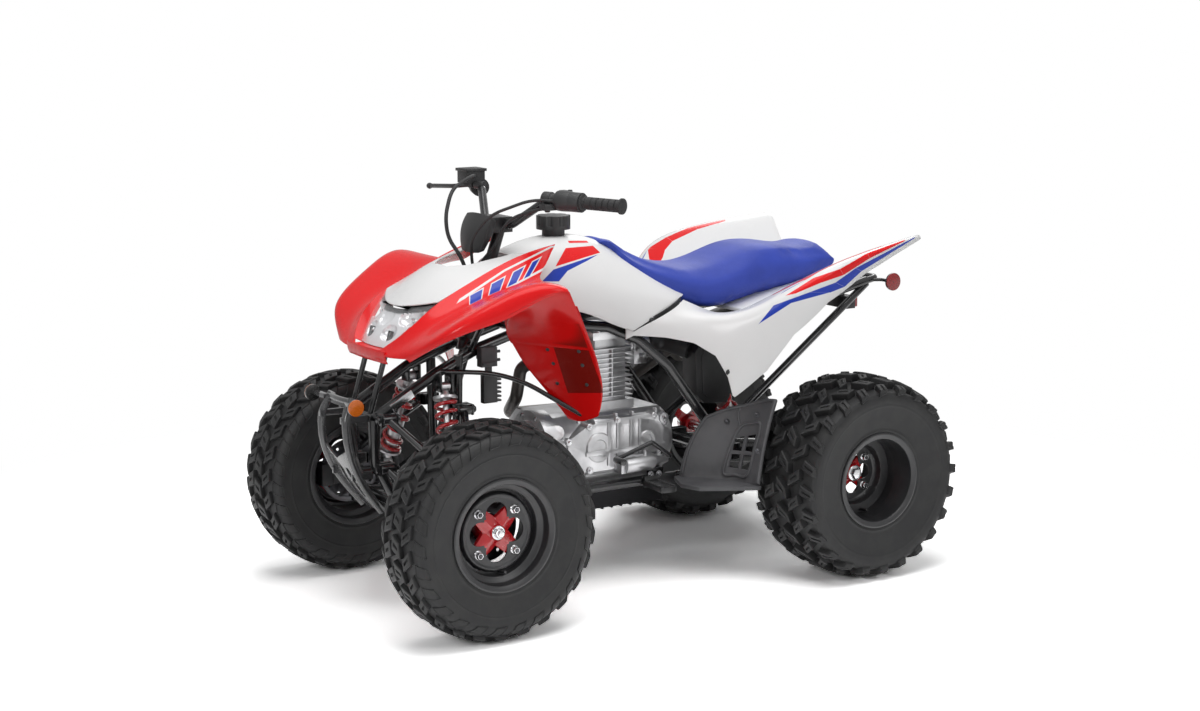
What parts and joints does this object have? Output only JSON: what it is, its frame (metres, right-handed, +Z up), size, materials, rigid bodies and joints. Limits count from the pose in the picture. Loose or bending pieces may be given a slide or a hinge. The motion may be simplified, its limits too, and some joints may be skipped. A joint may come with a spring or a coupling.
{
  "type": "quad bike",
  "caption": "Sport quad bike with a bare tube frame, open engine, double wishbone front suspension, straddle seat, handlebar and knobbly balloon tyres",
  "frame": {"origin": "on the floor under the middle of the bounding box", "axes": "the machine faces -Y, its left side is +X, +Z is up"},
  "size_m": [1.0536, 1.732, 1.089],
  "materials": {
    "tyre": "matt black rubber",
    "wheel_black": "satin black",
    "hub_red": "gloss red",
    "brake_steel": "ground steel",
    "frame_black": "gloss black",
    "arm_black": "gloss black",
    "spring_red": "gloss red",
    "alloy": "cast",
    "exhaust_steel": "heat darkened",
    "red_plastic": "gloss",
    "white_plastic": "gloss",
    "grey_plastic": "matt",
    "black_plastic": "matt",
    "seat_vinyl": "blue vinyl",
    "lens": "clear",
    "amber": "amber",
    "reflector_red": "red",
    "grip_rubber": "matt"
  },
  "bodies": {
    "chassis": {"airbox": "black_plastic", "carburettor": "alloy", "crankcase": "alloy", "cylinder": "alloy", "exhaust": "exhaust_steel", "flap_stays": "frame_black", "foot_pegs": "alloy", "frame": "frame_black", "frame_plate": "white_plastic", "front_bumper": "black_plastic", "front_fender": "red_plastic", "front_reflectors": "amber", "front_shocks": "alloy", "front_springs": "spring_red", "fuel_cap": "black_plastic", "headlight_lens": "lens", "headlights": "black_plastic", "heel_guards": "grey_plastic", "hood": "white_plastic", "ignition_coil": "black_plastic", "lower_arms": "arm_black", "mudflaps": "red_plastic", "pedals": "brake_steel", "rear_fender": "white_plastic", "rear_reflectors": "reflector_red", "rear_shock": "alloy", "rear_spring": "spring_red", "regulator": "black_plastic", "seat": "seat_vinyl", "starter_motor": "alloy", "swingarm": "alloy", "tail_bracket": "black_plastic", "tail_lamp": "reflector_red", "tank_cover": "white_plastic", "upper_arms": "arm_black"},
    "steering": {"steering_stem": "frame_black", "handlebar": "brake_steel", "handlebar_pad": "black_plastic", "grips": "grip_rubber", "controls": "black_plastic", "control_cables": "grip_rubber"},
    "steering_knuckle_left": {"knuckle_left": "alloy"},
    "steering_knuckle_right": {"knuckle_right": "alloy"},
    "track_rod_left": {"tie_rod_left": "brake_steel"},
    "track_rod_right": {"tie_rod_right": "brake_steel"},
    "wheel_front_left": {"front_tyre_left": "tyre", "front_rim_left": "wheel_black", "front_hub_left": "hub_red", "brake_disc_left": "brake_steel"},
    "wheel_front_right": {"front_tyre_right": "tyre", "front_rim_right": "wheel_black", "front_hub_right": "hub_red", "brake_disc_right": "brake_steel"},
    "rear_wheels": {"rear_axle": "brake_steel", "rear_hubs": "hub_red", "rear_rims": "wheel_black", "rear_tyre_left": "tyre", "rear_tyre_right": "tyre"}
  },
  "joints": [
    {"name": "steer", "type": "hinge", "parent": "chassis", "child": "steering", "pos_m": [0, -0.553, 0.308], "axis": [0, 0.3259, 0.9454], "range_deg": [-30, 30]},
    {"name": "kingpin_left", "type": "hinge", "parent": "chassis", "child": "steering_knuckle_left", "pos_m": [0.329, -0.594, 0.272], "axis": [0, 0, 1], "range_deg": [-30, 30]},
    {"name": "kingpin_right", "type": "hinge", "parent": "chassis", "child": "steering_knuckle_right", "pos_m": [-0.329, -0.594, 0.272], "axis": [0, 0, 1], "range_deg": [-30, 30]},
    {"name": "track_rod_swing_left", "type": "hinge", "parent": "steering", "child": "track_rod_left", "pos_m": [0.024, -0.48098, 0.296], "axis": [0, 0.3259, 0.9454], "range_deg": [-33, 33]},
    {"name": "track_rod_swing_right", "type": "hinge", "parent": "steering", "child": "track_rod_right", "pos_m": [-0.024, -0.48098, 0.296], "axis": [0, 0.3259, 0.9454], "range_deg": [-33, 33]},
    {"name": "spin_front_left", "type": "hinge", "parent": "steering_knuckle_left", "child": "wheel_front_left", "pos_m": [0.394, -0.594, 0.272], "axis": [1, 0, 0], "continuous": true},
    {"name": "spin_front_right", "type": "hinge", "parent": "steering_knuckle_right", "child": "wheel_front_right", "pos_m": [-0.394, -0.594, 0.272], "axis": [1, 0, 0], "continuous": true},
    {"name": "spin_rear", "type": "hinge", "parent": "chassis", "child": "rear_wheels", "pos_m": [0, 0.534, 0.272], "axis": [1, 0, 0], "continuous": true}
  ],
  "couplings": [
    {"joint": "kingpin_left", "follows": "steer", "ratio": 1},
    {"joint": "kingpin_right", "follows": "steer", "ratio": 1},
    {"joint": "track_rod_swing_left", "follows": "steer", "ratio": -1.07},
    {"joint": "track_rod_swing_right", "follows": "steer", "ratio": -1.07}
  ]
}
